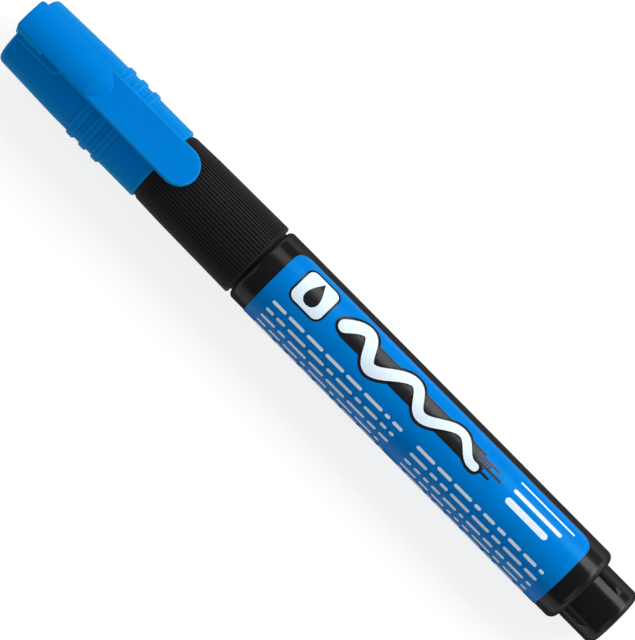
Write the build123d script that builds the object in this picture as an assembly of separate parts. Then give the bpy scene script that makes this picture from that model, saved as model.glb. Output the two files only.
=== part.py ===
from build123d import *
import math
import os

# Valve-action paint marker, lying on its side with its clip on top. Sizes are in millimetres.
# +X runs from the tail to the cap and +Z is up. Each piece is drawn on the marker's axis, with X = 0
# at the tail's end face, and is moved at the end so that the origin lies under the marker's middle.
# Angles round the axis start at the clip and turn about +X, from +Z towards -Y.

# Fits
running_clearance = 0.05   # on the radius, between a piece that slides and its bore
valve_gap = 0.04           # along the axis, between the closed valve and its seat
posting_clearance = 0.01   # on the radius, between the tail's ribs and the posted cap

# Tail plug
stub_length = 7.5
stub_edge_radius = 1.2
plug_wall = 1.3
plug_end_wall = 1.5
plug_step = 0.28           # shoulder of the stub against the barrel's end
plug_bead = 0.15           # snap bead behind the barrel's neck, on the radius
plug_lead_length = 1.2
posting_rib_count = 4
posting_rib_angle = 28.0
posting_rib_height = 0.53
posting_rib_base = 1.1
posting_rib_crest = 0.4
posting_rib_length = 3.4
posting_rib_ramp = 1.35

# Barrel
barrel_d = 14.94
barrel_length = 76.8
barrel_wall = 1.1
barrel_neck_length = 3.0
barrel_rear_radius = 1.4
barrel_front_land = 0.15   # flat left on the front end, inside its rounding

# Label
label_thickness = 0.085
label_bare_strip = 6.94    # of the barrel, between the label's two edges
label_rear_margin = 4.1
label_front_margin = 3.8
label_corner_radius = 2.6
label_edge_angle = 45.8

# Front section
collar_gap = 0.4
collar_length = 22.45
collar_front_length = 5.4  # steeper front stretch of the grip
collar_middle_drop = 0.17  # taper of the grip up to that stretch, on the radius
collar_front_drop = 0.34   # taper of the whole grip, on the radius
collar_chamfer_length = 0.75
collar_chamfer_depth = 0.3
collar_rear_chamfer = 0.2
stop_step = 0.12           # ring that stops on the barrel's front end, on the radius
grip_groove_count = 72
grip_groove_width = 0.23
grip_groove_depth = 0.22
grip_groove_rear_margin = 0.4
spigot_length = 12.0
spigot_wall = 0.97
spigot_chamfer = 0.5
seat_length = 6.0          # cylinder that the cap sits on
nose_cone_step = 0.6
nose_cone_length = 3.6
seal_wall = 1.6            # round the nib, under the cylinder that the inner cap closes on
seal_length = 3.4
tip_length = 2.6
tip_wall = 0.8
chamber_gap = 0.75         # space round the nib's rear end
chamber_length = 4.4
valve_depth = 6.9          # from the grip's front end back to the valve seat

# Nib
nib_r = 2.25
nib_reach = 6.0            # how far it stands out of the nose
nib_tip_length = 3.2
nib_travel = 2.0           # how far it presses in, until its rear end meets the valve seat
nib_stop_gap = 0.1         # left between them when it is pressed in
nib_tail_chamfer = 0.3

# Valve
valve_seat_thickness = 2.0
valve_hole_share = 0.655   # radius of the seat's hole, as a share of the stem head's
valve_lip = 0.1            # how far the stem's head reaches past the seat's cone
stem_head_share = 0.73     # radius of the head, as a share of the housing's inside
stem_rod_share = 0.47      # radius of the rod in the seat's hole, as a share of the head's
stem_pin_share = 0.53      # radius of the pin that carries the spring, as a share of the head's
stem_head_length = 1.4
stem_pin_out = 0.8         # how far the pin stands out behind the housing
stem_pin_chamfer = 0.4
housing_length = 16.0
housing_wall = 1.0
housing_end_wall = 1.2
guide_clearance = 0.1
flow_hole_count = 6
flow_hole_edge = 0.55      # left on both sides of a flow hole

# Spring
spring_gap = 0.475         # round the stem's pin
spring_wire_r = 0.225
spring_turns = 6
spring_end_pitch = 0.95
spring_end_turns = 1
spring_steps = 2           # stretches in each turn, of two arcs each
spring_wire_sides = 6      # flats that the thin wire is drawn with

# Cap
cap_inset = 0.09           # how far its side lies inside the barrel's line
cap_gap = 0.15             # between the grip's front end and the cap's mouth
cap_nib_room = 4.95        # between the nib and the inner cap's end
cap_wall = 1.05
cap_end_wall = 1.3
cap_end_drop = 0.37        # taper towards the closed end, on the radius
cap_taper_length = 13.0
cap_end_radius = 1.1
cap_mouth_chamfer = 0.2
ring_count = 3
ring_place = 8.93          # from the mouth to the first ring
ring_pitch = 2.89
ring_base = 1.8
ring_crest = 1.15
ring_height = 0.36

# Clip
clip_overhang = 0.55       # past the cap's closed end
clip_past_mouth = 6.1      # the tip hangs over the grip
clip_root_width = 6.4
clip_tip_width = 7.0
clip_corner_radius = 0.7
clip_gap = 0.31            # under the arm, over the cap's rings
clip_crown_tilt = 31.0     # degrees, of the root's rounded outer face at its sides
clip_side_rise = 0.12      # of that face's sides over the flat face, at the crease
clip_crease = 15.65        # from the clip's closed end to the crease
clip_ramp = 3.35           # from the crease to the flat face
clip_root_length = 6.15
clip_root_depth = 1.4      # how far the root reaches down the cap's end face
clip_arm_thickness = 1.05
clip_neck_rise = 0.55      # the arm is thinner next to the root
clip_neck_length = 2.95
clip_neck_slope = 1.4
clip_bump_height = 0.4
clip_bump_length = 3.0
clip_bump_width = 4.0
clip_edge_radius = 0.3
pad_height = 0.2           # raised pad of the cap, under the clip's root
pad_margin = 0.7           # how far the pad spreads past the root's sides
pad_length = 9.5           # from the clip's closed end to the pad's sloping corners
pad_corner_length = 1.6
pad_corner_width = 1.0

# Inner cap
liner_wall = 0.75
liner_skirt_length = 4.6   # ring that is pressed into the cap
liner_skirt_wall = 0.85
liner_web = 1.0
liner_overlap = 2.4        # how far it goes over the seal cylinder

# Mixing ball
ball_d = 6.0
ball_place = 22.0          # from the barrel's rear end
ball_clearance = 0.15      # from the bore

# Places along the axis
barrel_rear = stub_length
barrel_front = barrel_rear + barrel_length
neck_front = barrel_rear + barrel_neck_length
collar_rear = barrel_front + collar_gap
collar_front = collar_rear + collar_length
valve_front = collar_front - valve_depth
seat_rear = valve_front - valve_seat_thickness
housing_rear = seat_rear - housing_length
housing_floor = housing_rear + housing_end_wall
nib_rear = valve_front + nib_travel + nib_stop_gap
chamber_front = valve_front + chamber_length
seat_front = collar_front + seat_length
seal_rear = seat_front + nose_cone_length
seal_front = seal_rear + seal_length
nose_tip = seal_front + tip_length
nib_tip = nose_tip + nib_reach
cap_mouth = collar_front + cap_gap
liner_front = nib_tip + cap_nib_room
liner_back = liner_front + liner_skirt_length
cap_end = liner_back + cap_end_wall
clip_end = cap_end + clip_overhang
clip_tip = cap_mouth - clip_past_mouth

# Radii
barrel_r = barrel_d / 2
barrel_bore_r = barrel_r - barrel_wall
label_r = barrel_r + label_thickness
collar_front_r = barrel_r - collar_front_drop
cap_r = barrel_r - cap_inset
cap_bore_r = cap_r - cap_wall
cap_end_r = cap_r - cap_end_drop
cap_seat_r = cap_bore_r - running_clearance
liner_bore_r = cap_end_r - cap_wall
clip_under = cap_r + ring_height + clip_gap
clip_flat_height = clip_under + clip_arm_thickness
rib_crest_r = cap_bore_r - posting_clearance
stub_r = rib_crest_r - posting_rib_height
neck_r = stub_r - plug_step
nib_bore_r = nib_r + running_clearance
seal_r = nib_bore_r + seal_wall
valve_bore_r = barrel_bore_r - spigot_wall
housing_inner_r = valve_bore_r - housing_wall
stem_head_r = stem_head_share * housing_inner_r
stem_pin_r = stem_pin_share * stem_head_r
stem_rod_r = stem_rod_share * stem_head_r
valve_hole_r = valve_hole_share * stem_head_r
guide_hole_r = stem_pin_r + guide_clearance
spring_r = stem_pin_r + spring_gap + spring_wire_r

# The rings on the cap are the widest thing under the axis, so the marker lies on them.
axis_height = cap_r + ring_height


def turned(*corners):
    """Solid of revolution from corners of (place, radius, rounding)."""
    points = [(place, radius) for place, radius, rounding in corners]
    roundings = [rounding for place, radius, rounding in corners]
    return revolve(make_face(FilletPolyline(*points, radius=roundings, close=True)), Axis.X)


def side_prism(outline, width):
    """Solid of an outline of (place, height) lines, spread evenly to both sides."""
    return extrude(Plane.XZ * make_face(outline), amount=width / 2, both=True)


def round_axis(angle, solid):
    return Rot(angle, 0, 0) * solid


# Tail plug: hollow stub with ramped ribs for the posted cap, a shoulder and a snap bead
def make_posting_rib():
    sunk_r = stub_r - posting_rib_height
    crest_end = barrel_rear - posting_rib_length
    ramp_end = crest_end - posting_rib_ramp
    side = Polyline(
        (barrel_rear, sunk_r),
        (barrel_rear, rib_crest_r),
        (crest_end, rib_crest_r),
        (ramp_end, stub_r),
        (ramp_end, sunk_r),
        close=True,
    )
    section = Polyline(
        (-posting_rib_base / 2, sunk_r),
        (-posting_rib_base / 2, stub_r),
        (-posting_rib_crest / 2, rib_crest_r),
        (posting_rib_crest / 2, rib_crest_r),
        (posting_rib_base / 2, stub_r),
        (posting_rib_base / 2, sunk_r),
        close=True,
    )
    rib = extrude(Plane.YZ * make_face(section), amount=barrel_rear)
    return rib & side_prism(side, 2 * posting_rib_base)


def make_tail_plug():
    bore_r = neck_r - plug_wall
    front = neck_front + plug_lead_length
    plug = turned(
        (0, 0, 0),
        (0, stub_r, stub_edge_radius),
        (barrel_rear, stub_r, 0),
        (barrel_rear, neck_r, 0),
        (neck_front, neck_r, 0),
        (neck_front, neck_r + plug_bead, 0),
        (front, neck_r - plug_bead, 0),
        (front, bore_r, 0),
        (plug_end_wall, bore_r, 0),
        (plug_end_wall, 0, 0),
    )
    rib = make_posting_rib()
    pitch = 360 / posting_rib_count
    return plug + [round_axis(posting_rib_angle + i * pitch, rib) for i in range(posting_rib_count)]


# Barrel: straight tube, necked at the rear for the plug
def make_barrel():
    return turned(
        (barrel_rear, neck_r, 0),
        (barrel_rear, barrel_r, barrel_rear_radius),
        (barrel_front, barrel_r, barrel_wall - barrel_front_land),
        (barrel_front, barrel_bore_r, 0),
        (neck_front, barrel_bore_r, 0),
        (neck_front, neck_r, 0),
    )


# Label: film wrapped part of the way round the barrel, with rounded corners
def make_label():
    rear = barrel_rear + label_rear_margin
    front = barrel_front - label_front_margin
    sweep_angle = 360 - math.degrees(label_bare_strip / barrel_r)
    strip = Polyline((rear, barrel_r), (front, barrel_r), (front, label_r), (rear, label_r), close=True)
    film = revolve(make_face(strip), Axis.X, sweep_angle)
    film = round_axis(90 + label_edge_angle - sweep_angle, film)
    corner_angle = math.degrees(math.asin(label_corner_radius / label_r))
    block = 2 * label_corner_radius
    corners = []
    for end, inwards in ((rear, 1), (front, -1)):
        for edge, turn in ((label_edge_angle, -1), (label_edge_angle - sweep_angle, 1)):
            outside = Pos(-inwards * block / 2, turn * block / 2, 0) * Box(block, block, barrel_r)
            corner = Pos(end + inwards * label_corner_radius, 0, label_r)
            corner = corner * (outside - Cylinder(label_corner_radius, barrel_r))
            corners.append(round_axis(edge + turn * corner_angle, corner))
    return film - corners


# Front section: spigot, ribbed grip, seat for the cap and nose for the nib
def grip_line(lowered):
    """Corners of the grip from its rear to its chamfer, lowered towards the axis."""
    chamfer_rear = collar_front - collar_chamfer_length
    return (
        (collar_rear, barrel_r - lowered),
        (chamfer_rear - collar_front_length, barrel_r - collar_middle_drop - lowered),
        (chamfer_rear, collar_front_r - lowered),
    )


def make_grip_groove():
    top = barrel_r + grip_groove_depth
    front = collar_front + collar_chamfer_length
    floor = grip_line(grip_groove_depth)
    floor_front = floor[-1][1]
    side = Polyline(*floor, (front, floor_front), (front, top), (collar_rear, top), close=True)
    plain_rear = Pos(collar_rear, 0, barrel_r) * Box(2 * grip_groove_rear_margin, barrel_r, barrel_r)
    return side_prism(side, grip_groove_width) - plain_rear


def make_front_section():
    spigot_rear = barrel_front - spigot_length
    chamber_r = nib_r + chamber_gap
    middle, front = grip_line(0)[1:]
    body = turned(
        (collar_rear, barrel_r - collar_rear_chamfer, 0),
        (collar_rear + collar_rear_chamfer, barrel_r, 0),
        (*middle, 0),
        (*front, 0),
        (collar_front, collar_front_r - collar_chamfer_depth, 0),
        (collar_front, cap_seat_r, 0),
        (seat_front, cap_seat_r, 0),
        (seat_front, cap_seat_r - nose_cone_step, 0),
        (seal_rear, seal_r, 0),
        (seal_front, seal_r, 0),
        (nose_tip, nib_bore_r + tip_wall, 0),
        (nose_tip, nib_bore_r, 0),
        (chamber_front, nib_bore_r, 0),
        (chamber_front, chamber_r, 0),
        (valve_front, chamber_r, 0),
        (valve_front, valve_bore_r, 0),
        (spigot_rear, valve_bore_r, 0),
        (spigot_rear, barrel_bore_r - spigot_chamfer, 0),
        (spigot_rear + spigot_chamfer, barrel_bore_r, 0),
        (barrel_front, barrel_bore_r, 0),
        (barrel_front, barrel_bore_r + stop_step, 0),
        (collar_rear, barrel_bore_r + stop_step, 0),
    )
    groove = make_grip_groove()
    pitch = 360 / grip_groove_count
    return body - [round_axis(i * pitch, groove) for i in range(grip_groove_count)]


# Nib: bullet-shaped fibre rod
def make_nib():
    shoulder = nib_tip - nib_tip_length
    body = Polyline(
        (nib_tip, 0),
        (nib_rear, 0),
        (nib_rear, nib_r - nib_tail_chamfer),
        (nib_rear + nib_tail_chamfer, nib_r),
        (shoulder, nib_r),
    )
    bullet = EllipticalCenterArc((shoulder, 0), nib_tip_length, nib_r, 0, arc_size=90)
    return revolve(make_face([body, bullet]), Axis.X)


# Valve: soft seat, plunger, spring and the perforated cage that holds them
def make_valve_seat():
    valve_cone = stem_head_r - valve_lip - valve_hole_r
    return turned(
        (seat_rear, valve_bore_r, 0),
        (valve_front, valve_bore_r, 0),
        (valve_front, valve_hole_r, 0),
        (seat_rear + valve_cone, valve_hole_r, 0),
        (seat_rear, valve_hole_r + valve_cone, 0),
    )


stem_head_front = seat_rear - valve_gap - valve_lip
stem_head_rear = stem_head_front - stem_head_length


def make_valve_stem():
    pin_rear = housing_rear - stem_pin_out
    cone_length = stem_head_r - stem_rod_r
    return turned(
        (pin_rear, 0, 0),
        (pin_rear, stem_pin_r - stem_pin_chamfer, 0),
        (pin_rear + stem_pin_chamfer, stem_pin_r, 0),
        (stem_head_rear, stem_pin_r, 0),
        (stem_head_rear, stem_head_r, 0),
        (stem_head_front, stem_head_r, 0),
        (stem_head_front + cone_length, stem_rod_r, 0),
        (nib_rear, stem_rod_r, 0),
        (nib_rear, 0, 0),
    )


def make_valve_housing():
    cage = turned(
        (housing_rear, guide_hole_r, 0),
        (housing_rear, valve_bore_r, 0),
        (seat_rear, valve_bore_r, 0),
        (seat_rear, housing_inner_r, 0),
        (housing_floor, housing_inner_r, 0),
        (housing_floor, guide_hole_r, 0),
    )
    hole_r = (housing_inner_r - guide_hole_r) / 2 - flow_hole_edge
    hole_place = Pos(housing_rear + housing_end_wall / 2, 0, (housing_inner_r + guide_hole_r) / 2)
    hole = hole_place * Rot(0, 90, 0) * Cylinder(hole_r, 2 * housing_end_wall)
    pitch = 360 / flow_hole_count
    return cage - [round_axis(i * pitch, hole) for i in range(flow_hole_count)]


# Spring: one wire with close end turns, from the cage's floor to the plunger's head
spring_rear = housing_floor + spring_wire_r
spring_front = stem_head_rear - spring_wire_r


def spring_place(turn):
    """Place along the axis of the wire's centre after a number of turns."""
    open_turns = spring_turns - 2 * spring_end_turns
    close_length = spring_end_turns * spring_end_pitch
    open_pitch = (spring_front - spring_rear - 2 * close_length) / open_turns
    into_open = min(max(turn - spring_end_turns, 0), open_turns)
    return spring_rear + (turn - into_open) * spring_end_pitch + into_open * open_pitch


def spring_point(turn):
    angle = 2 * math.pi * turn
    return Vector(spring_place(turn), spring_r * math.cos(angle), spring_r * math.sin(angle))


def spring_heading(turn):
    angle = 2 * math.pi * turn
    half_step = 0.5 / spring_steps
    rise = (spring_place(turn + half_step) - spring_place(turn - half_step)) * spring_steps
    round_speed = 2 * math.pi * spring_r
    return Vector(rise, -round_speed * math.sin(angle), round_speed * math.cos(angle)).normalized()


def biarc(start, start_way, end, end_way):
    """Two arcs that join smoothly, from one point and direction to another."""
    span = end - start
    ways = start_way + end_way
    square = 4 - ways.dot(ways)
    reach = (math.sqrt(span.dot(ways) ** 2 + square * span.dot(span)) - span.dot(ways)) / square
    middle = (start + end + (start_way - end_way) * reach) * 0.5
    first = TangentArc(start, middle, tangent=start_way)
    return first, TangentArc(middle, end, tangent=first % 1)


def make_valve_spring():
    turns = [i / spring_steps for i in range(spring_steps * spring_turns + 1)]
    ends = [(spring_point(turn), spring_heading(turn)) for turn in turns]
    arcs = []
    for start, end in zip(ends, ends[1:]):
        arcs.extend(biarc(*start, *end))
    start = Plane(spring_point(0), z_dir=spring_heading(0))
    section = start * RegularPolygon(spring_wire_r, spring_wire_sides)
    return sweep(section, path=Wire(arcs))


def spring_self_gap():
    """Least gap between two turns of the wire, from points along it."""
    points_per_turn = 24
    points = [spring_point(i / points_per_turn) for i in range(points_per_turn * spring_turns + 1)]
    apart = [
        (points[j] - points[i]).length
        for i in range(len(points))
        for j in range(i + points_per_turn // 2, len(points))
    ]
    return min(apart) - 2 * spring_wire_r


# Cap: tapered shell with three grip rings, in one piece with its clip
def ring_corners(place):
    return (
        (place - ring_base / 2, cap_r, 0),
        (place - ring_crest / 2, cap_r + ring_height, 0),
        (place + ring_crest / 2, cap_r + ring_height, 0),
        (place + ring_base / 2, cap_r, 0),
    )


def make_cap_body():
    rings = []
    for i in range(ring_count):
        rings.extend(ring_corners(cap_mouth + ring_place + i * ring_pitch))
    return turned(
        (cap_mouth, 0, 0),
        (cap_mouth, cap_r - cap_mouth_chamfer, 0),
        (cap_mouth + cap_mouth_chamfer, cap_r, 0),
        *rings,
        (cap_end - cap_taper_length, cap_r, 0),
        (cap_end, cap_end_r, cap_end_radius),
        (cap_end, 0, 0),
    )


def make_cap_hollow():
    taper_rear = cap_end - cap_taper_length
    return turned(
        (cap_mouth - cap_wall, 0, 0),
        (cap_mouth - cap_wall, cap_bore_r, 0),
        (taper_rear, cap_bore_r, 0),
        (taper_rear + cap_bore_r - liner_bore_r, liner_bore_r, 0),
        (liner_back, liner_bore_r, 0),
        (liner_back, 0, 0),
    )


def rim_of(faces):
    """Edges round the outside of a group of faces that meet."""
    edges = [edge for face in faces for edge in face.edges()]
    return [edge for edge in edges if edges.count(edge) == 1]


def faces_up(face):
    """True for a face that is less than 60 degrees from level."""
    return face.normal_at().Z > 0.5


def make_clip():
    root_half = clip_root_width / 2
    tip_half = clip_tip_width / 2
    tip_centre = clip_tip + tip_half
    band = Polyline(
        (tip_centre, tip_half),
        (clip_end, root_half),
        (clip_end, -root_half),
        (tip_centre, -tip_half),
    )
    tip = ThreePointArc((tip_centre, -tip_half), (clip_tip, 0), (tip_centre, tip_half))
    outline = make_face([band, tip])
    outline = fillet(outline.vertices().group_by(Axis.X)[-1], clip_corner_radius)
    root_floor = cap_end_r - clip_root_depth
    crease = clip_end - clip_crease
    crease_half = root_half + (tip_half - root_half) * clip_crease / (clip_end - tip_centre)
    tilt = math.radians(clip_crown_tilt)
    crown_r = crease_half / math.sin(tilt)
    crown_rise = clip_side_rise + crown_r * (1 - math.cos(tilt))
    top = clip_flat_height + crown_rise
    blank = extrude(Pos(0, 0, root_floor) * outline, amount=top)
    past_end = clip_end + clip_overhang
    crown = Pos(0, 0, top - crown_r) * turned(
        (crease - clip_ramp, 0, 0),
        (crease - clip_ramp, crown_r - crown_rise, 0),
        (crease, crown_r, 0),
        (past_end, crown_r, 0),
        (past_end, 0, 0),
    )
    slab_length = past_end - clip_tip
    slab_place = Pos((past_end + clip_tip) / 2, 0, clip_flat_height / 2)
    slab = slab_place * Box(slab_length, 2 * clip_tip_width, clip_flat_height)
    clip = blank & (slab + crown)
    clip = clip.fillet(clip_edge_radius, rim_of(clip.faces().filter_by(faces_up)))
    root_front = clip_end - clip_root_length
    neck_rear = root_front - clip_neck_length
    gap = Polyline(
        (clip_tip - clip_tip_width, 0),
        (clip_tip - clip_tip_width, clip_under),
        (neck_rear - clip_neck_slope, clip_under),
        (neck_rear, clip_under + clip_neck_rise),
        (root_front, clip_under + clip_neck_rise),
        (root_front, 0),
        close=True,
    )
    clip = clip - side_prism(gap, 2 * clip_tip_width)
    half_bump = clip_bump_length / 2
    bump_line = ThreePointArc(
        (tip_centre - half_bump, clip_under),
        (tip_centre, clip_under - clip_bump_height),
        (tip_centre + half_bump, clip_under),
    )
    bump_top = Polyline(bump_line @ 0, (tip_centre, clip_under + clip_arm_thickness / 2), bump_line @ 1)
    return clip + side_prism([bump_line, bump_top], clip_bump_width)


def make_clip_pad():
    half = clip_root_width / 2 + pad_margin
    corner_half = half - pad_corner_width
    corner = clip_end - pad_length
    front = corner - pad_corner_length
    outline = Polyline(
        (cap_end, half),
        (corner, half),
        (front, corner_half),
        (front, -corner_half),
        (corner, -half),
        (cap_end, -half),
        close=True,
    )
    raised = turned(
        (cap_mouth, 0, 0),
        (cap_mouth, cap_r + pad_height, 0),
        (cap_end - cap_taper_length, cap_r + pad_height, 0),
        (cap_end, cap_end_r + pad_height, cap_end_radius + pad_height),
        (cap_end, 0, 0),
    )
    return extrude(make_face(outline), amount=clip_under) & raised


def make_cap():
    return make_cap_body() + make_clip_pad() + make_clip() - make_cap_hollow()


# Inner cap: thimble that closes on the nose, with a skirt pressed into the cap's end
def make_inner_cap():
    inner_r = seal_r + running_clearance
    return turned(
        (seal_front - liner_overlap, inner_r, 0),
        (seal_front - liner_overlap, inner_r + liner_wall, 0),
        (liner_front, inner_r + liner_wall, 0),
        (liner_front, liner_bore_r, 0),
        (liner_back, liner_bore_r, 0),
        (liner_back, liner_bore_r - liner_skirt_wall, 0),
        (liner_front + liner_web, liner_bore_r - liner_skirt_wall, 0),
        (liner_front + liner_web, 0, 0),
        (liner_front, 0, 0),
        (liner_front, inner_r, 0),
    )


# Mixing ball: lies in the bottom of the bore
def make_mixing_ball():
    drop = barrel_bore_r - ball_d / 2 - ball_clearance
    return Pos(barrel_rear + ball_place, 0, -drop) * Sphere(ball_d / 2)


pieces = {
    "tail_plug": make_tail_plug(),
    "barrel": make_barrel(),
    "label": make_label(),
    "front_section": make_front_section(),
    "nib": make_nib(),
    "valve_seat": make_valve_seat(),
    "valve_stem": make_valve_stem(),
    "valve_spring": make_valve_spring(),
    "valve_housing": make_valve_housing(),
    "cap": make_cap(),
    "inner_cap": make_inner_cap(),
    "mixing_ball": make_mixing_ball(),
}

os.makedirs("parts", exist_ok=True)
lay_down = Pos(-clip_end / 2, 0, axis_height)
for name, piece in pieces.items():
    export_step(lay_down * piece, f"parts/{name}.step")
print("least gap between the spring's turns:", round(spring_self_gap(), 3), "mm")
print("overall length:", round(clip_end, 2), "mm, axis height:", round(axis_height, 3), "mm")
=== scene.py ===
import math
import random

import bmesh
import bpy
from mathutils import Matrix, Vector


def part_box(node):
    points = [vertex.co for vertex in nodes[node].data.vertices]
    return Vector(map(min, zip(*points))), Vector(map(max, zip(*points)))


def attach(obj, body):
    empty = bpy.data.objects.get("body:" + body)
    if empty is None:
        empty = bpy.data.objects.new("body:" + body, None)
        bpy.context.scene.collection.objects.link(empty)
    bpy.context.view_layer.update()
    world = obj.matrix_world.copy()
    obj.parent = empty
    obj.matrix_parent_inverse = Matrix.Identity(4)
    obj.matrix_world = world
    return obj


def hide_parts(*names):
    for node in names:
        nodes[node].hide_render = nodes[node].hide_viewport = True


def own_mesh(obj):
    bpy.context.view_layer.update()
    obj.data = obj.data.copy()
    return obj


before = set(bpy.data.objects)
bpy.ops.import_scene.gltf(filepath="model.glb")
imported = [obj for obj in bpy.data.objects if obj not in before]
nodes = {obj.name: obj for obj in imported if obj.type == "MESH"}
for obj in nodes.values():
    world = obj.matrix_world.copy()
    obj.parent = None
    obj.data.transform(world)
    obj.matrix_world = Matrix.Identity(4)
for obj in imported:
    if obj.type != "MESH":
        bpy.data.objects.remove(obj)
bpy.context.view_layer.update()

mm = 0.001

# Barrel: the paint reservoir, a straight tube with a necked rear end.
# Black polypropylene, injection moulded in a polished mould, so its outside is glossy.
def linear(code):
    """Linear colour with alpha from an sRGB code such as 1a2b3c."""
    shares = [int(code[i:i + 2], 16) / 255 for i in (0, 2, 4)]
    return [c / 12.92 if c <= 0.04045 else ((c + 0.055) / 1.055) ** 2.4 for c in shares] + [1.0]


def per_m(size_mm):
    """Texture scale at which one grain of the pattern is about this many millimetres."""
    return 1 / (size_mm * mm)


def add_node(material, kind, inputs=(), **settings):
    """Adds a node to a material. An input is a plain value or another node's output."""
    made = material.node_tree.nodes.new(kind)
    for name, value in settings.items():
        setattr(made, name, value)
    for socket, value in dict(inputs).items():
        if isinstance(value, bpy.types.NodeSocket):
            material.node_tree.links.new(value, made.inputs[socket])
        else:
            made.inputs[socket].default_value = value
    return made


def new_material(name):
    """Empty node material, and a socket with the place on the piece in metres."""
    material = bpy.data.materials.new(name)
    material.use_nodes = True
    material.node_tree.nodes.clear()
    return material, add_node(material, "ShaderNodeTexCoord").outputs["Object"]


def close_material(material, inputs):
    """Ends a material with one plastic, fibre or metal shader of these inputs."""
    shader = add_node(material, "ShaderNodeBsdfPrincipled", inputs, distribution="GGX")
    add_node(material, "ShaderNodeOutputMaterial", {"Surface": shader.outputs["BSDF"]})


def finish_node(name, material, smooth_angle=30):
    """Gives a CAD node its material and shades it smooth, with edges where its faces meet sharply."""
    piece = nodes[name]
    piece.data.materials.clear()
    piece.data.materials.append(material)
    piece.data.shade_smooth()
    piece.data.set_sharp_from_angle(angle=math.radians(smooth_angle))


# Polished black polypropylene: deep black with clear reflections and faint smudges from handling.
# It is rougher at grazing angles, which keeps its sides dark over a white floor.
gloss_black, place = new_material("black_polypropylene_polished")
smudges = add_node(gloss_black, "ShaderNodeTexNoise", {"Vector": place, "Scale": per_m(5.5), "Detail": 4})
smudge_gloss = add_node(gloss_black, "ShaderNodeMapRange", {
    "Value": smudges.outputs["Fac"], "From Min": 0.35, "From Max": 0.75, "To Min": 0.15, "To Max": 0.25})
facing = add_node(gloss_black, "ShaderNodeLayerWeight", {"Blend": 0.35})
edge_gloss = add_node(gloss_black, "ShaderNodeMapRange", {
    "Value": facing.outputs["Facing"], "From Min": 0.25, "From Max": 0.5,
    "To Min": smudge_gloss.outputs["Result"], "To Max": 1.0})
black_tone = add_node(gloss_black, "ShaderNodeMix", {
    "Factor": smudges.outputs["Fac"], "A": linear("0e0e10"), "B": linear("161618")}, data_type="RGBA")
peel = add_node(gloss_black, "ShaderNodeTexNoise", {"Vector": place, "Scale": per_m(1.4), "Detail": 2})
soft_edges = add_node(gloss_black, "ShaderNodeBevel", {"Radius": 0.1 * mm}, samples=6)
peel_bump = add_node(gloss_black, "ShaderNodeBump", {
    "Height": peel.outputs["Fac"], "Strength": 0.04, "Distance": 0.1 * mm,
    "Normal": soft_edges.outputs["Normal"]})
close_material(gloss_black, {
    "Base Color": black_tone.outputs["Result"], "Roughness": edge_gloss.outputs["Result"],
    "IOR": 1.49, "Specular IOR Level": 0.2, "Normal": peel_bump.outputs["Normal"]})
finish_node("barrel", gloss_black)

# Tail plug: closes the barrel's rear end and holds the posted cap on its four ribs.
# The same polished black polypropylene, snapped into the barrel's neck.
finish_node("tail_plug", gloss_black)

# Label: printed film glued round the barrel, with rounded corners and a bare strip at its seam.
# Polypropylene film, printed blue and varnished.
# Varnished film: an even, strong blue with a slightly wavy gloss that turns matt towards the sides.
film_blue, place = new_material("polypropylene_film_printed_blue")
mottle = add_node(film_blue, "ShaderNodeTexNoise", {"Vector": place, "Scale": per_m(3.3), "Detail": 3})
ink_tone = add_node(film_blue, "ShaderNodeMix", {
    "Factor": mottle.outputs["Fac"], "A": linear("0071c3"), "B": linear("0079cd")}, data_type="RGBA")
film_gloss = add_node(film_blue, "ShaderNodeMapRange", {
    "Value": mottle.outputs["Fac"], "To Min": 0.18, "To Max": 0.28})
facing = add_node(film_blue, "ShaderNodeLayerWeight", {"Blend": 0.35})
edge_gloss = add_node(film_blue, "ShaderNodeMapRange", {
    "Value": facing.outputs["Facing"], "From Min": 0.25, "From Max": 0.7,
    "To Min": film_gloss.outputs["Result"], "To Max": 0.9})
film_bump = add_node(film_blue, "ShaderNodeBump", {
    "Height": mottle.outputs["Fac"], "Strength": 0.03, "Distance": 0.1 * mm})
close_material(film_blue, {
    "Base Color": ink_tone.outputs["Result"], "Roughness": edge_gloss.outputs["Result"],
    "IOR": 1.49, "Specular IOR Level": 0.24, "Specular Tint": linear("3cb4dc"),
    "Normal": film_bump.outputs["Normal"]})
finish_node("label", film_blue)

# Print on the label: a drop on a tile, a wavy paint stroke over a black swash, line samples and dashes.
# White and black screen ink, two hundredths of a millimetre thick, that follows the film round the barrel.
# Its sizes are in millimetres of the flat label: along from its front edge, up from the marker's top.
label_low, label_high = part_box("label")
barrel_low, barrel_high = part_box("barrel")
axis_height = (barrel_low.z + barrel_high.z) / 2
label_radius = label_high.z - axis_height
label_length = (label_high.x - label_low.x) / mm
strip_height = 0.4
ink_thickness = 0.02
ink_step = 0.006
rim_angle = 30
same_plane = 1e-5


def dash(along, up, length, height, arc_steps=6):
    """Bar with round ends, from its left end."""
    half = height / 2
    outline = []
    for centre, first_angle in ((along + length - half, -90), (along + half, 90)):
        for i in range(arc_steps + 1):
            a = math.radians(first_angle + 180 / arc_steps * i)
            outline.append((centre + half * math.cos(a), up + half * math.sin(a)))
    return outline


def tile(along, up, size, corner, arc_steps=5):
    """Square with round corners, from the middle of its left side."""
    outline = []
    inset = size / 2 - corner
    for x, y, first_angle in ((1, -1, -90), (1, 1, 0), (-1, 1, 90), (-1, -1, 180)):
        for i in range(arc_steps + 1):
            a = math.radians(first_angle + 90 / arc_steps * i)
            outline.append((along + size / 2 + x * inset + corner * math.cos(a),
                            up + y * inset + corner * math.sin(a)))
    return outline


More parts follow.
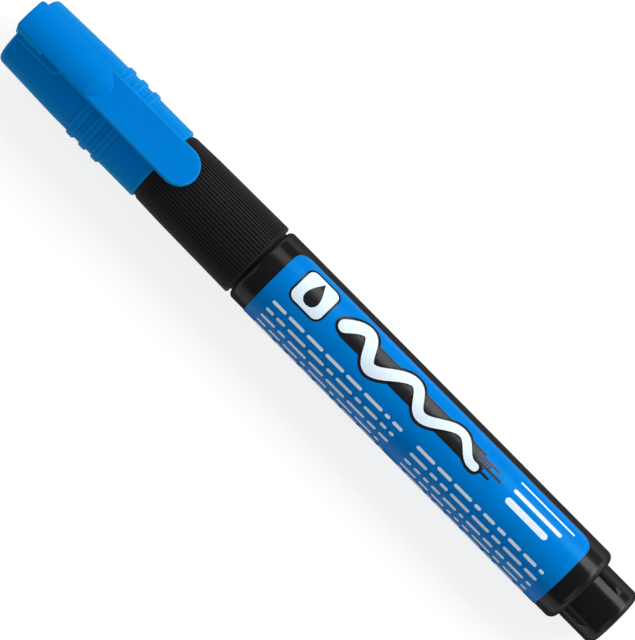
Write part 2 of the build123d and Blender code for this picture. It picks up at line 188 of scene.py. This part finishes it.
def drop(along, up, radius, taper=1.6, stretch=1.25, corners=36):
    """Drop with its point upwards, round its middle."""
    outline = []
    for i in range(corners):
        a = 2 * math.pi * i / corners
        outline.append((along + radius * math.sin(a) * math.sin(a / 2) ** taper,
                        up + stretch * radius * math.cos(a)))
    return outline


def print_ink(name, outlines, height, material):
    """Wraps flat outlines of (along, up) round the label, with the ink's face this high over the film."""
    ink = bmesh.new()
    for outline in outlines:
        ink.faces.new([ink.verts.new((along, up, 0)) for along, up in outline])
    bmesh.ops.triangulate(ink, faces=ink.faces[:])
    heights = [vert.co.y for vert in ink.verts]
    cut = math.ceil(min(heights) / strip_height) * strip_height
    while cut < max(heights):
        everything = ink.verts[:] + ink.edges[:] + ink.faces[:]
        bmesh.ops.bisect_plane(
            ink, geom=everything, dist=same_plane, plane_co=(0, cut, 0), plane_no=(0, 1, 0))
        cut += strip_height
    for part in bmesh.ops.extrude_face_region(ink, geom=ink.faces[:])["geom"]:
        if isinstance(part, bmesh.types.BMVert):
            part.co.z = ink_thickness
    for vert in ink.verts:
        along, up, lift = vert.co
        angle = up * mm / label_radius
        radius = label_radius + (height - ink_thickness + lift) * mm
        side = -radius * math.sin(angle)
        vert.co = (label_high.x - along * mm, side, axis_height + radius * math.cos(angle))
    bmesh.ops.recalc_face_normals(ink, faces=ink.faces[:])
    mesh = bpy.data.meshes.new(name)
    ink.to_mesh(mesh)
    ink.free()
    mesh.shade_smooth()
    mesh.set_sharp_from_angle(angle=math.radians(rim_angle))
    mesh.materials.append(material)
    piece = bpy.data.objects.new(name, mesh)
    bpy.context.scene.collection.objects.link(piece)
    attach(piece, "body")


# White screen ink: opaque and slightly uneven, so a breath of blue shows through.
white_ink, place = new_material("screen_ink_white")
uneven = add_node(white_ink, "ShaderNodeTexNoise", {"Vector": place, "Scale": per_m(0.6), "Detail": 3})
white_tone = add_node(white_ink, "ShaderNodeMix", {
    "Factor": uneven.outputs["Fac"], "A": linear("ccdeee"), "B": linear("deecf8")}, data_type="RGBA")
ink_gloss = add_node(white_ink, "ShaderNodeMapRange", {
    "Value": uneven.outputs["Fac"], "To Min": 0.3, "To Max": 0.45})
close_material(white_ink, {
    "Base Color": white_tone.outputs["Result"], "Roughness": ink_gloss.outputs["Result"],
    "IOR": 1.49, "Specular IOR Level": 0.3})

# Black screen ink: the same ink with a carbon pigment, deep black with a soft gloss.
black_ink, place = new_material("screen_ink_black")
uneven = add_node(black_ink, "ShaderNodeTexNoise", {"Vector": place, "Scale": per_m(0.6), "Detail": 3})
black_ink_tone = add_node(black_ink, "ShaderNodeMix", {
    "Factor": uneven.outputs["Fac"], "A": linear("0c0c0f"), "B": linear("16161a")}, data_type="RGBA")
ink_gloss = add_node(black_ink, "ShaderNodeMapRange", {
    "Value": uneven.outputs["Fac"], "To Min": 0.22, "To Max": 0.34})
close_material(black_ink, {
    "Base Color": black_ink_tone.outputs["Result"], "Roughness": ink_gloss.outputs["Result"],
    "IOR": 1.49, "Specular IOR Level": 0.3})

stroke_start = 14.0
stroke_length = 32.0
stroke_up = 1.0
stroke_wave = 11.5
stroke_rise = 2.5
stroke_flattening = 1.2
stroke_slant = 0.3
stroke_half_width = 1.2
stroke_thinning = 0.45
stroke_steps = 120
stroke_end_steps = 8
small_share = 0.001
outline_width = 0.55


def stroke_point(share):
    """Centre of the brush stroke; its waves get flatter towards the tail."""
    along = stroke_start + share * stroke_length
    wave = math.sin(2 * math.pi * share * stroke_length / stroke_wave)
    rise = (stroke_rise - stroke_flattening * share) * wave
    return Vector((along + stroke_slant * rise, stroke_up + rise))


def stroke_outline(extra):
    """Outline of the stroke, widened by extra, with round ends."""
    upper, lower = [], []
    for i in range(stroke_steps + 1):
        share = i / stroke_steps
        way = (stroke_point(share + small_share) - stroke_point(share - small_share)).normalized()
        half_width = stroke_half_width - stroke_thinning * share
        side = Vector((-way.y, way.x)) * (half_width + extra)
        upper.append(stroke_point(share) + side)
        lower.append(stroke_point(share) - side)
    ends = []
    for share, rim in ((1, upper[-1]), (0, lower[0])):
        centre = stroke_point(share)
        turns = [Matrix.Rotation(-math.pi * i / stroke_end_steps, 2) for i in range(1, stroke_end_steps)]
        ends.append([centre + turn @ (rim - centre) for turn in turns])
    return [tuple(point) for point in upper + ends[0] + lower[::-1] + ends[1]]


black_prints = [stroke_outline(outline_width)]
white_prints = [stroke_outline(0)]

tile_along = 3.6
tile_up = 1.2
tile_size = 6.6
tile_corner = 1.3
border = 0.4
drop_radius = 2.1
drop_lift = 0.2
black_prints.append(tile(tile_along - border, tile_up, tile_size + 2 * border, tile_corner + border))
white_prints.append(tile(tile_along, tile_up, tile_size, tile_corner))
top_prints = [drop(tile_along + tile_size / 2, tile_up + drop_lift, drop_radius)]

sample_thicknesses = (0.35, 0.7, 1.2)
sample_start = 53.0
sample_top = 4.0
sample_pitch = 2.1
sample_length = 12.5
sample_shortening = 1.5
for i, thickness in enumerate(sample_thicknesses):
    up = sample_top - sample_pitch * i
    white_prints.append(dash(sample_start, up, sample_length - sample_shortening * i, thickness))

swash_lead = 1.4
swash_start = stroke_start - swash_lead
swash_length = 32.5
swash_height = 3.9
streak_height = 0.48
streak_lengths = (5.0, 7.6, 5.8, 9.4, 6.6, 8.2, 4.6)
streak_start = swash_start + swash_length - swash_height
black_prints.append(dash(swash_start, stroke_up, swash_length, swash_height))
for i, length in enumerate(streak_lengths):
    up = stroke_up + (i / (len(streak_lengths) - 1) - 0.5) * (swash_height - streak_height)
    black_prints.append(dash(streak_start, up, length, streak_height))

row_top = -4.7
row_pitch = 1.85
row_count = 13
dash_height = 0.6
dash_gap = 0.7
shortest_dash = 1.0
longest_dash = 4.4
least_end_dash = 0.9
margin = 2.6
first_block_end = 33.0
second_block_start = 36.5
blocks = ((margin, first_block_end), (second_block_start, label_length - margin))
dice = random.Random(5)
for row in range(row_count):
    up = row_top - row * row_pitch
    for start, end in blocks:
        along = start
        while along < end - shortest_dash:
            length = min(dice.uniform(shortest_dash, longest_dash), end - along)
            white_prints.append(dash(along, up, max(length, least_end_dash), dash_height))
            along += length + dash_gap

print_ink("print_black", black_prints, ink_step, black_ink)
print_ink("print_white", white_prints, 2 * ink_step, white_ink)
print_ink("print_drop", top_prints, 3 * ink_step, black_ink)

# Front section: the ribbed grip with the nose for the nib, pressed into the barrel.
# Black polypropylene from a spark-eroded mould, which leaves it satin.
# Satin black polypropylene: a fine grain that scatters light, a little polished where fingers rub it.
satin_black, place = new_material("black_polypropylene_satin")
grain = add_node(satin_black, "ShaderNodeTexNoise", {"Vector": place, "Scale": per_m(0.25), "Detail": 2})
wear = add_node(satin_black, "ShaderNodeTexNoise", {"Vector": place, "Scale": per_m(4.5), "Detail": 4})
satin_tone = add_node(satin_black, "ShaderNodeMix", {
    "Factor": wear.outputs["Fac"], "A": linear("171719"), "B": linear("212123")}, data_type="RGBA")
satin_gloss = add_node(satin_black, "ShaderNodeMapRange", {
    "Value": wear.outputs["Fac"], "To Min": 0.52, "To Max": 0.68})
grain_bump = add_node(satin_black, "ShaderNodeBump", {
    "Height": grain.outputs["Fac"], "Strength": 0.15, "Distance": 0.05 * mm})
close_material(satin_black, {
    "Base Color": satin_tone.outputs["Result"], "Roughness": satin_gloss.outputs["Result"],
    "IOR": 1.49, "Specular IOR Level": 0.1, "Normal": grain_bump.outputs["Normal"]})
finish_node("front_section", satin_black)

# Valve: a soft ring, a plunger, a spring and the perforated cage that holds them in the front section.
# The ring is nitrile rubber, plunger and cage are natural acetal, the spring is drawn stainless wire.
# Nitrile rubber: dull and almost black, with a powdery bloom.
rubber, place = new_material("nitrile_rubber_moulded")
bloom = add_node(rubber, "ShaderNodeTexNoise", {"Vector": place, "Scale": per_m(0.8), "Detail": 4})
rubber_tone = add_node(rubber, "ShaderNodeMix", {
    "Factor": bloom.outputs["Fac"], "A": linear("2c2c2e"), "B": linear("3c3c3f")}, data_type="RGBA")
rubber_gloss = add_node(rubber, "ShaderNodeMapRange", {
    "Value": bloom.outputs["Fac"], "To Min": 0.7, "To Max": 0.9})
close_material(rubber, {
    "Base Color": rubber_tone.outputs["Result"], "Roughness": rubber_gloss.outputs["Result"], "IOR": 1.52})
finish_node("valve_seat", rubber)

# Natural acetal: milky white and slippery, with a soft sheen.
acetal, place = new_material("acetal_natural_moulded")
milk = add_node(acetal, "ShaderNodeTexNoise", {"Vector": place, "Scale": per_m(2.5), "Detail": 3})
milk_tone = add_node(acetal, "ShaderNodeMix", {
    "Factor": milk.outputs["Fac"], "A": linear("e2e3df"), "B": linear("eeefec")}, data_type="RGBA")
milk_gloss = add_node(acetal, "ShaderNodeMapRange", {
    "Value": milk.outputs["Fac"], "To Min": 0.28, "To Max": 0.42})
close_material(acetal, {
    "Base Color": milk_tone.outputs["Result"], "Roughness": milk_gloss.outputs["Result"], "IOR": 1.48})
finish_node("valve_stem", acetal)
finish_node("valve_housing", acetal)

# Drawn stainless wire: bright, with fine marks from the die.
wire, place = new_material("stainless_wire_drawn")
die_marks = add_node(wire, "ShaderNodeTexNoise", {"Vector": place, "Scale": per_m(0.2), "Detail": 3})
wire_tone = add_node(wire, "ShaderNodeMix", {
    "Factor": die_marks.outputs["Fac"], "A": linear("b4b5b7"), "B": linear("d2d3d4")}, data_type="RGBA")
wire_gloss = add_node(wire, "ShaderNodeMapRange", {
    "Value": die_marks.outputs["Fac"], "To Min": 0.22, "To Max": 0.36})
close_material(wire, {
    "Base Color": wire_tone.outputs["Result"], "Roughness": wire_gloss.outputs["Result"], "Metallic": 1.0})
finish_node("valve_spring", wire, smooth_angle=75)

# The spring that shows is a copy of the valve spring with a mesh of its own, and the CAD spring is hidden.
spring = bpy.data.objects.new("spring_coil", nodes["valve_spring"].data.copy())
bpy.context.scene.collection.objects.link(spring)
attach(spring, "body")
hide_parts("valve_spring")
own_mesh(spring)

# Nib: a bullet-shaped rod that slides in the nose and pushes the valve open.
# Polyester fibre, bonded with resin and ground to shape.
# Bonded fibre: off-white felt, with fibres that run along the rod, drawn coarser than real to show.
felt, place = new_material("polyester_fibre_bonded")
stretched = add_node(felt, "ShaderNodeMapping", {"Vector": place, "Scale": (0.12, 1, 1)})
fibres = add_node(felt, "ShaderNodeTexNoise", {
    "Vector": stretched.outputs["Vector"], "Scale": per_m(0.12), "Detail": 3})
felt_tone = add_node(felt, "ShaderNodeMix", {
    "Factor": fibres.outputs["Fac"], "A": linear("d6d3c8"), "B": linear("f4f2ea")}, data_type="RGBA")
felt_gloss = add_node(felt, "ShaderNodeMapRange", {
    "Value": fibres.outputs["Fac"], "To Min": 0.8, "To Max": 0.95})
fibre_bump = add_node(felt, "ShaderNodeBump", {
    "Height": fibres.outputs["Fac"], "Strength": 0.5, "Distance": 0.04 * mm})
close_material(felt, {
    "Base Color": felt_tone.outputs["Result"], "Roughness": felt_gloss.outputs["Result"],
    "IOR": 1.5, "Normal": fibre_bump.outputs["Normal"]})
finish_node("nib", felt)

# Mixing ball: stirs the paint when the marker is shaken.
# Chrome steel, ground and polished.
# Polished chrome steel: a mirror with a few faint rolling marks.
ball_steel, place = new_material("chrome_steel_polished")
marks = add_node(ball_steel, "ShaderNodeTexNoise", {"Vector": place, "Scale": per_m(1.2), "Detail": 4})
ball_tone = add_node(ball_steel, "ShaderNodeMix", {
    "Factor": marks.outputs["Fac"], "A": linear("bcbdbf"), "B": linear("d0d1d2")}, data_type="RGBA")
ball_gloss = add_node(ball_steel, "ShaderNodeMapRange", {
    "Value": marks.outputs["Fac"], "To Min": 0.06, "To Max": 0.16})
close_material(ball_steel, {
    "Base Color": ball_tone.outputs["Result"], "Roughness": ball_gloss.outputs["Result"], "Metallic": 1.0})
finish_node("mixing_ball", ball_steel)

# Inner cap: a thimble pressed into the cap's end, which closes round the nose and keeps the nib wet.
# Natural polyethylene, soft enough to seal.
# Natural polyethylene: waxy, milky and a little see-through.
wax, place = new_material("polyethylene_natural_moulded")
cloud = add_node(wax, "ShaderNodeTexNoise", {"Vector": place, "Scale": per_m(2.0), "Detail": 3})
wax_tone = add_node(wax, "ShaderNodeMix", {
    "Factor": cloud.outputs["Fac"], "A": linear("dfe1e1"), "B": linear("eef0f0")}, data_type="RGBA")
wax_gloss = add_node(wax, "ShaderNodeMapRange", {
    "Value": cloud.outputs["Fac"], "To Min": 0.38, "To Max": 0.52})
close_material(wax, {
    "Base Color": wax_tone.outputs["Result"], "Roughness": wax_gloss.outputs["Result"],
    "IOR": 1.51, "Subsurface Weight": 0.15,
    "Subsurface Radius": (1.0, 1.0, 1.0), "Subsurface Scale": 1.0 * mm})
finish_node("inner_cap", wax)

# Cap: the shell with three grip rings and the clip, one moulding.
# Blue polypropylene from a satin mould.
# Satin blue polypropylene: strong colour, soft sheen, edges rounded by the mould, and a painted highlight
# that makes its thin convex edges a paler blue.
satin_blue, place = new_material("blue_polypropylene_satin")
grain = add_node(satin_blue, "ShaderNodeTexNoise", {"Vector": place, "Scale": per_m(0.25), "Detail": 2})
tint = add_node(satin_blue, "ShaderNodeTexNoise", {"Vector": place, "Scale": per_m(8), "Detail": 3})
blue_tone = add_node(satin_blue, "ShaderNodeMix", {
    "Factor": tint.outputs["Fac"], "A": linear("0070c6"), "B": linear("0078ce")}, data_type="RGBA")
blue_gloss = add_node(satin_blue, "ShaderNodeMapRange", {
    "Value": tint.outputs["Fac"], "To Min": 0.46, "To Max": 0.58})
# Painted highlight: convex edges, found by occlusion traced inside the plastic, are mixed towards a paler
# blue.
thin_edges = add_node(
    satin_blue, "ShaderNodeAmbientOcclusion", {"Distance": 0.3 * mm},
    samples=8, inside=True, only_local=True)
edge_highlight_mask = add_node(satin_blue, "ShaderNodeMapRange", {
    "Value": thin_edges.outputs["AO"], "From Min": 0.97, "From Max": 0.75, "To Min": 0.0, "To Max": 1.0})
# The painted edge highlight is kept faint on the clip's root, whose edges blend into the cap.
cap_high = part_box("cap")[1]
clip_crease = cap_high.x - 15.65 * mm
clip_ramp = 3.35 * mm
root_foot = cap_high.z - 2.1 * mm
foot_blend = 0.2 * mm
root_highlight_level = 0.15
spot = add_node(satin_blue, "ShaderNodeSeparateXYZ", {"Vector": place})
past_ramp = add_node(satin_blue, "ShaderNodeMapRange", {
    "Value": spot.outputs["X"], "From Min": clip_crease - clip_ramp, "From Max": clip_crease})
above_foot = add_node(satin_blue, "ShaderNodeMapRange", {
    "Value": spot.outputs["Z"], "From Min": root_foot - foot_blend, "From Max": root_foot})
on_root = add_node(satin_blue, "ShaderNodeMath", {
    0: past_ramp.outputs["Result"], 1: above_foot.outputs["Result"]}, operation="MULTIPLY")
root_highlight_scale = add_node(satin_blue, "ShaderNodeMapRange", {
    "Value": on_root.outputs["Value"], "To Min": 1.0, "To Max": root_highlight_level})
painted_edge_highlight = add_node(satin_blue, "ShaderNodeMath", {
    0: edge_highlight_mask.outputs["Result"], 1: root_highlight_scale.outputs["Result"]}, operation="MULTIPLY")
# Painted highlight: the paler blue 209ae6 laid along the convex edges, in place of the light they catch.
highlighted_blue_tone = add_node(satin_blue, "ShaderNodeMix", {
    "Factor": painted_edge_highlight.outputs["Value"], "A": blue_tone.outputs["Result"], "B": linear("209ae6")},
    data_type="RGBA")
soft_edges = add_node(satin_blue, "ShaderNodeBevel", {"Radius": 0.1 * mm}, samples=6)
grain_bump = add_node(satin_blue, "ShaderNodeBump", {
    "Height": grain.outputs["Fac"], "Strength": 0.1, "Distance": 0.05 * mm,
    "Normal": soft_edges.outputs["Normal"]})
close_material(satin_blue, {
    "Base Color": highlighted_blue_tone.outputs["Result"], "Roughness": blue_gloss.outputs["Result"],
    "IOR": 1.49, "Specular IOR Level": 0.06, "Specular Tint": linear("3cb4dc"),
    "Sheen Weight": 0.9, "Sheen Roughness": 0.5, "Sheen Tint": linear("00c0ec"),
    "Normal": grain_bump.outputs["Normal"]})
finish_node("cap", satin_blue)

# Studio: a white floor, two strip lights in line beside the marker, and two keys and two fills
# round its ends.
# The floor glows for the camera and in reflections, so that it stays white round the shadow.
floor_half = 1.5
floor_glow = 0.8
floor_mesh = bpy.data.meshes.new("floor")
corners = ((-1, -1), (1, -1), (1, 1), (-1, 1))
floor_mesh.from_pydata([(x * floor_half, y * floor_half, 0) for x, y in corners], [], [(0, 1, 2, 3)])
floor = bpy.data.objects.new("floor", floor_mesh)
bpy.context.scene.collection.objects.link(floor)

# Matt white paper: an even tone with no gloss.
paper = new_material("white_paper_matt")[0]
ray = add_node(paper, "ShaderNodeLightPath")
seen = add_node(paper, "ShaderNodeMath", {
    0: ray.outputs["Is Camera Ray"], 1: ray.outputs["Is Glossy Ray"]}, operation="MAXIMUM")
seen = add_node(paper, "ShaderNodeMath", {
    0: seen.outputs["Value"], 1: ray.outputs["Is Transmission Ray"]}, operation="MAXIMUM")
glow_level = add_node(paper, "ShaderNodeMath", {
    0: seen.outputs["Value"], 1: floor_glow}, operation="MULTIPLY")
matt = add_node(paper, "ShaderNodeBsdfDiffuse", {"Color": linear("848484")})
glow = add_node(paper, "ShaderNodeEmission", {"Strength": glow_level.outputs["Value"]})
both = add_node(paper, "ShaderNodeAddShader", {0: matt.outputs["BSDF"], 1: glow.outputs["Emission"]})
add_node(paper, "ShaderNodeOutputMaterial", {"Surface": both.outputs["Shader"]})
floor_mesh.materials.append(paper)


def turned_to(back):
    """Axes of something that looks at the marker, with its own X along the marker."""
    along = Vector((1, 0, 0))
    along = (along - back * along.dot(back)).normalized()
    return along, back.cross(along)


def add_softbox(name, towards, distance, width, length, radiance, shift=0):
    """Area light that faces the marker, or is shifted along it; radiance is the brightness of its face."""
    data = bpy.data.lights.new(name, "AREA")
    data.shape = "RECTANGLE"
    data.size = length
    data.size_y = width
    data.energy = radiance * math.pi * width * length
    light = bpy.data.objects.new(name, data)
    back = Vector(towards).normalized()
    axes = Matrix((*turned_to(back), back)).transposed().to_4x4()
    light.matrix_world = Matrix.Translation(back * distance + axes.col[0].xyz * shift) @ axes
    bpy.context.scene.collection.objects.link(light)


strip_side = (0, -0.67, 0.74)
strip_distance = 0.6
strip_width = 0.27
strip_length = 0.6
strip_shift = strip_length / 2
add_softbox("tail_strip", strip_side, strip_distance, strip_width, strip_length, 6.2, -strip_shift)
add_softbox("cap_strip", strip_side, strip_distance, strip_width, strip_length, 2.0, strip_shift)

box_distance = 1.0
box_size = 0.9
boxes = (
    ("tail_key", (-0.66, -0.64, 0.40), 2.0),
    ("cap_key", (0.66, -0.64, 0.40), 0.7),
    ("tail_fill", (-0.66, 0.56, 0.50), 0.9),
    ("cap_fill", (0.66, 0.56, 0.50), 0.7))
for name, towards, radiance in boxes:
    add_softbox(name, towards, box_distance, box_size, box_size, radiance)

room_light = 0.2
world = bpy.data.worlds.new("studio")
world.use_nodes = True
world.node_tree.nodes["Background"].inputs["Color"].default_value = (1, 1, 1, 1)
world.node_tree.nodes["Background"].inputs["Strength"].default_value = room_light
bpy.context.scene.world = world
bpy.context.scene.view_settings.view_transform = "Standard"

# Camera: above the marker, leaning 13 degrees to one side, with the marker on the picture's diagonal.
# A long lens 0.7 m away, as in the photograph; the picture is 635 by 640 pixels.
picture_height = 640
focal_length = 4230
lean = math.radians(13)
reach = 0.708
diagonal = math.radians(45.277)
aim_along = 0.52 * mm
aim_side = -0.1 * mm
camera_along = -14.18 * mm
aim = Vector((aim_along, aim_side, axis_height))
camera_place = Vector((camera_along, reach * math.sin(lean), axis_height + reach * math.cos(lean)))
back = (camera_place - aim).normalized()
along, across = turned_to(back)
right = -along * math.cos(diagonal) - across * math.sin(diagonal)
up = along * math.sin(diagonal) - across * math.cos(diagonal)
camera_data = bpy.data.cameras.new("camera")
camera_data.lens = camera_data.sensor_width * focal_length / picture_height
camera = bpy.data.objects.new("camera", camera_data)
camera.matrix_world = Matrix.Translation(camera_place) @ Matrix((right, up, back)).transposed().to_4x4()
bpy.context.scene.collection.objects.link(camera)
bpy.context.scene.camera = camera
